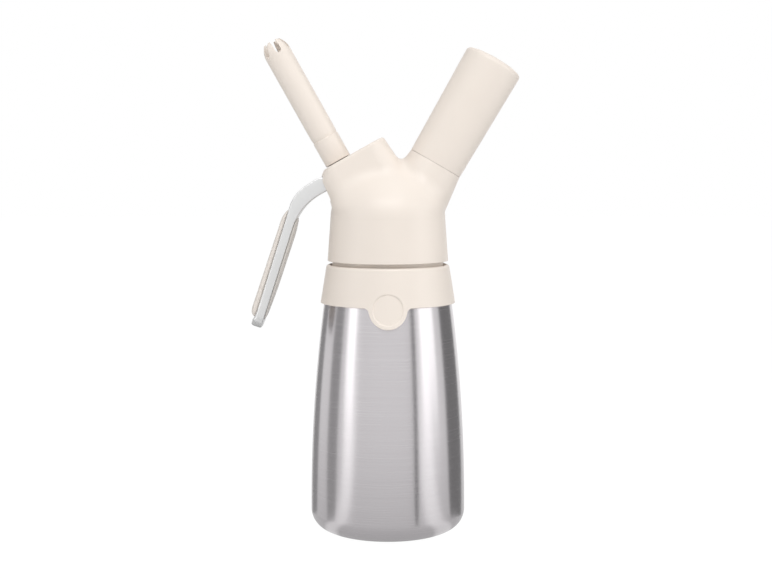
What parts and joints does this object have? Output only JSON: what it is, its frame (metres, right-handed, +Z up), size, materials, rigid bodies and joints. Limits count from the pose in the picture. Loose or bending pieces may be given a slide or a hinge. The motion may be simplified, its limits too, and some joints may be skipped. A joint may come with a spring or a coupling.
{
  "type": "whipped cream dispenser",
  "caption": "Handheld gas-charged cream whipper: steel bottle, moulded two-armed head, squeeze lever and valve, decorator tip and screw-on charger holder.",
  "frame": {"origin": "centre of the bottle's base, on the plane that it stands on", "axes": "+Z up along the bottle's axis; the lever and decorator tip lean towards -X and the charger holder towards +X; the badge is at the front, -Y"},
  "size_m": [0.1283, 0.0748, 0.2369],
  "materials": {
    "brushed_bottle_steel": "horizontally brushed",
    "cream_plastic": "fine satin moulded",
    "grip_plastic": "fine satin moulded",
    "lever_metal": "satin die cast",
    "turned_steel": "turned",
    "spring_steel": "drawn wire",
    "brass": "turned",
    "boss_aluminium": "turned and anodised",
    "cartridge_steel": "zinc plated, satin",
    "silicone": "matt",
    "valve_rubber": "matt"
  },
  "bodies": {
    "bottle": {"bottle": "brushed_bottle_steel", "neck_collar": "cream_plastic"},
    "gasket": {"head_gasket": "silicone"},
    "head": {"head_housing": "cream_plastic", "charger_boss": "boss_aluminium", "piercing_pin": "turned_steel", "charger_seal": "valve_rubber", "inlet_valve_body": "brass", "inlet_valve_flap": "valve_rubber", "stem_guide_bush": "brass", "stem_o_ring": "valve_rubber", "valve_spring": "spring_steel", "lever_pin": "turned_steel"},
    "lever": {"lever": "lever_metal", "lever_outer_grip": "cream_plastic", "lever_inner_grip": "grip_plastic"},
    "valve": {"valve_stem": "turned_steel", "thrust_sleeve": "turned_steel", "valve_seal": "valve_rubber"},
    "tip_gasket": {"tip_gasket": "valve_rubber"},
    "tip": {"tip_adapter": "cream_plastic", "tulip_tip": "cream_plastic"},
    "charger": {"charger": "cartridge_steel"},
    "holder": {"charger_holder": "cream_plastic", "holder_thread_insert": "boss_aluminium"}
  },
  "joints": [
    {"name": "head_rise", "type": "slide", "parent": "bottle", "child": "gasket", "axis": [0, 0, 1], "range_m": [0, 0.02]},
    {"name": "head_unscrew", "type": "hinge", "parent": "gasket", "child": "head", "pos_m": [0, 0, 0.14], "axis": [0, 0, 1], "range_deg": [0, 1800]},
    {"name": "lever_squeeze", "type": "hinge", "parent": "head", "child": "lever", "pos_m": [-0.00547, 0, 0.18124], "axis": [0, -1, 0], "range_deg": [0, 8.2], "stiffness_Nm_per_rad": 0.35, "springref_deg": -14.32},
    {"name": "valve_open", "type": "slide", "parent": "head", "child": "valve", "axis": [0.4894, 0, -0.8721], "range_m": [0, 0.00251], "deforming": ["valve_spring"]},
    {"name": "tip_rise", "type": "slide", "parent": "valve", "child": "tip_gasket", "axis": [-0.4894, 0, 0.8721], "range_m": [0, 0.009]},
    {"name": "tip_unscrew", "type": "hinge", "parent": "tip_gasket", "child": "tip", "pos_m": [-0.0236, 0, 0.178], "axis": [-0.4894, 0, 0.8721], "range_deg": [0, 2160]},
    {"name": "charger_rise", "type": "slide", "parent": "head", "child": "charger", "axis": [0.5, 0, 0.866], "range_m": [0, 0.014]},
    {"name": "holder_unscrew", "type": "hinge", "parent": "charger", "child": "holder", "pos_m": [0.02273, 0, 0.17705], "axis": [0.5, 0, 0.866], "range_deg": [0, 2520]}
  ],
  "couplings": [
    {"joint": "head_rise", "follows": "head_unscrew", "m_per_rad": 0.00063662},
    {"joint": "valve_open", "follows": "lever_squeeze", "m_per_rad": 0.017341},
    {"joint": "tip_rise", "follows": "tip_unscrew", "m_per_rad": 0.00023873},
    {"joint": "charger_rise", "follows": "holder_unscrew", "m_per_rad": 0.00031831}
  ]
}
